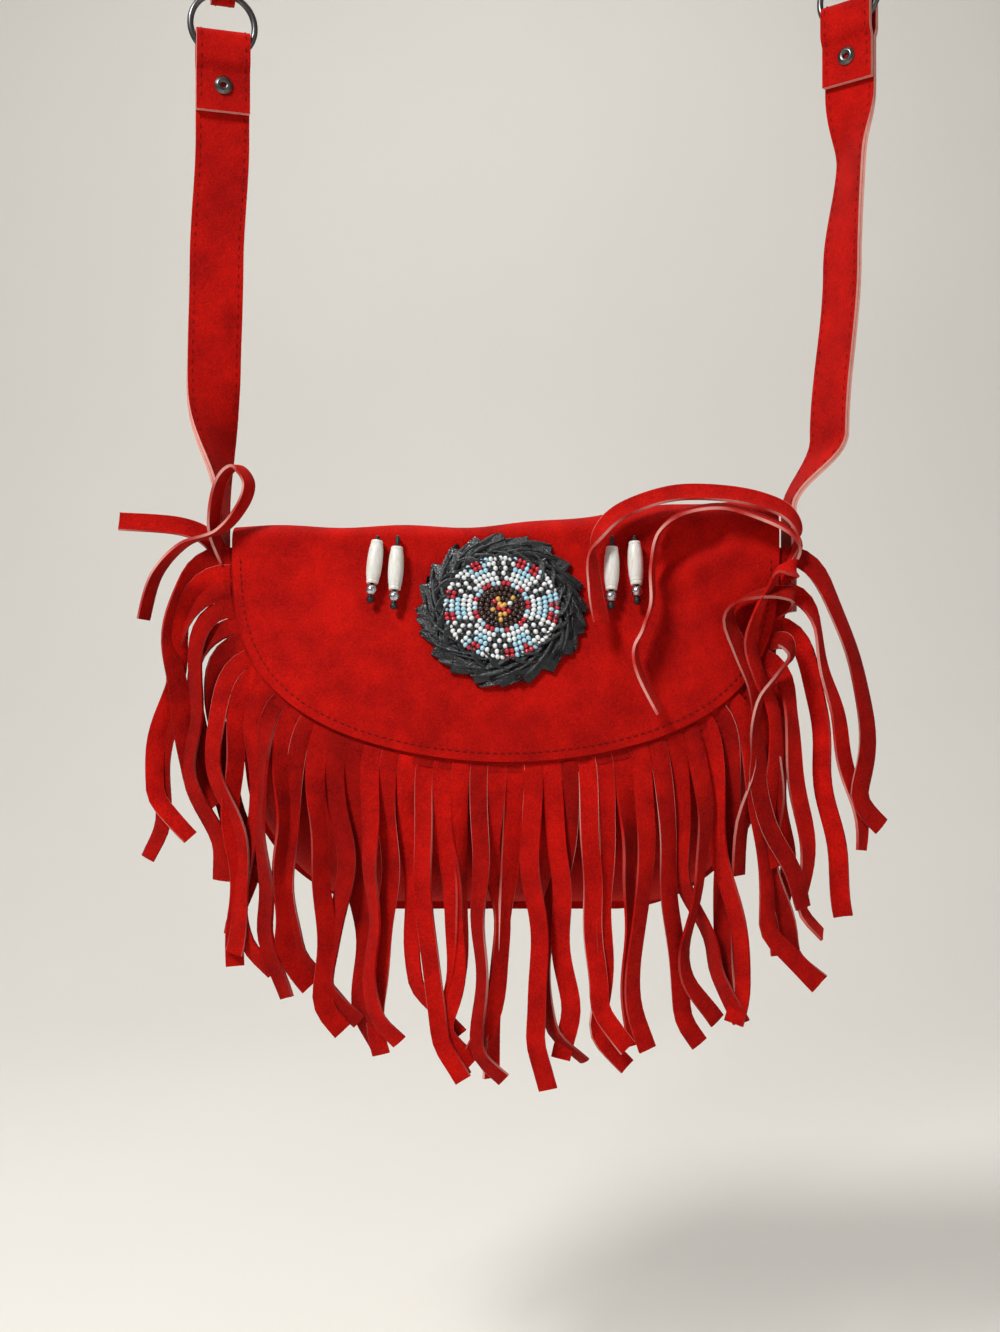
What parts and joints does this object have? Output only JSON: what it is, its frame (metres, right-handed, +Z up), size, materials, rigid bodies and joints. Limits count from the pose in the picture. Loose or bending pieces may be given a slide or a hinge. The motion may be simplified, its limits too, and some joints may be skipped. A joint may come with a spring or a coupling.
{
  "type": "fringed suede shoulder bag",
  "caption": "Soft half-moon suede shoulder bag with a long-fringed flap, a laced leather rosette with a beaded disc, hanging bone beads and a ringed strap.",
  "frame": {"origin": "under the top of the strap, where it lies over the peg or shoulder that carries it", "axes": "+Z up, +X to the right seen from the front, the front faces -Y"},
  "size_m": [0.3596, 0.068, 0.6612],
  "materials": {
    "suede": "napped red suede with pale cut edges",
    "black_leather": "satin black lacing",
    "seed_beads": "glossy seed beads",
    "bone": "polished bone",
    "silver": "bright silver",
    "thong": "dark waxed thong",
    "gunmetal": "polished gunmetal"
  },
  "bodies": {
    "bag": {"front_panel": "suede", "back_panel": "suede", "flap": "suede", "fringe": "suede", "rosette_base": "black_leather", "beaded_disc": "seed_beads", "strap_left": "suede", "strap_right": "suede", "strap_upper": "suede", "rivet_left": "gunmetal", "rivet_right": "gunmetal", "rivet_upper_left": "gunmetal", "rivet_upper_right": "gunmetal"},
    "left_ring": {"ring_left": "gunmetal"},
    "right_ring": {"ring_right": "gunmetal"},
    "pendant_1": {"bone_bead_1": "bone", "end_bead_1": "silver", "thong_1": "thong"},
    "pendant_2": {"bone_bead_2": "bone", "end_bead_2": "silver", "thong_2": "thong"},
    "pendant_3": {"bone_bead_3": "bone", "end_bead_3": "silver", "thong_3": "thong"},
    "pendant_4": {"bone_bead_4": "bone", "end_bead_4": "silver", "thong_4": "thong"}
  },
  "joints": [
    {"name": "ring_left_turn", "type": "hinge", "parent": "bag", "child": "left_ring", "pos_m": [-0.1337, 0.0045, -0.16662], "axis": [0.2924, -0.9563, 0], "continuous": true},
    {"name": "ring_right_turn", "type": "hinge", "parent": "bag", "child": "right_ring", "pos_m": [0.1622, 0.0045, -0.15262], "axis": [-0.6428, -0.766, 0], "continuous": true},
    {"name": "pendant_1_swing", "type": "hinge", "parent": "bag", "child": "pendant_1", "pos_m": [-0.0581, -0.02377, -0.4111], "axis": [-1, 0, 0], "range_deg": [0, 65]},
    {"name": "pendant_2_swing", "type": "hinge", "parent": "bag", "child": "pendant_2", "pos_m": [-0.04907, -0.02384, -0.41106], "axis": [-1, 0, 0], "range_deg": [0, 65]},
    {"name": "pendant_3_swing", "type": "hinge", "parent": "bag", "child": "pendant_3", "pos_m": [0.04807, -0.02384, -0.41106], "axis": [-1, 0, 0], "range_deg": [0, 65]},
    {"name": "pendant_4_swing", "type": "hinge", "parent": "bag", "child": "pendant_4", "pos_m": [0.0581, -0.02377, -0.4111], "axis": [-1, 0, 0], "range_deg": [0, 65]}
  ]
}
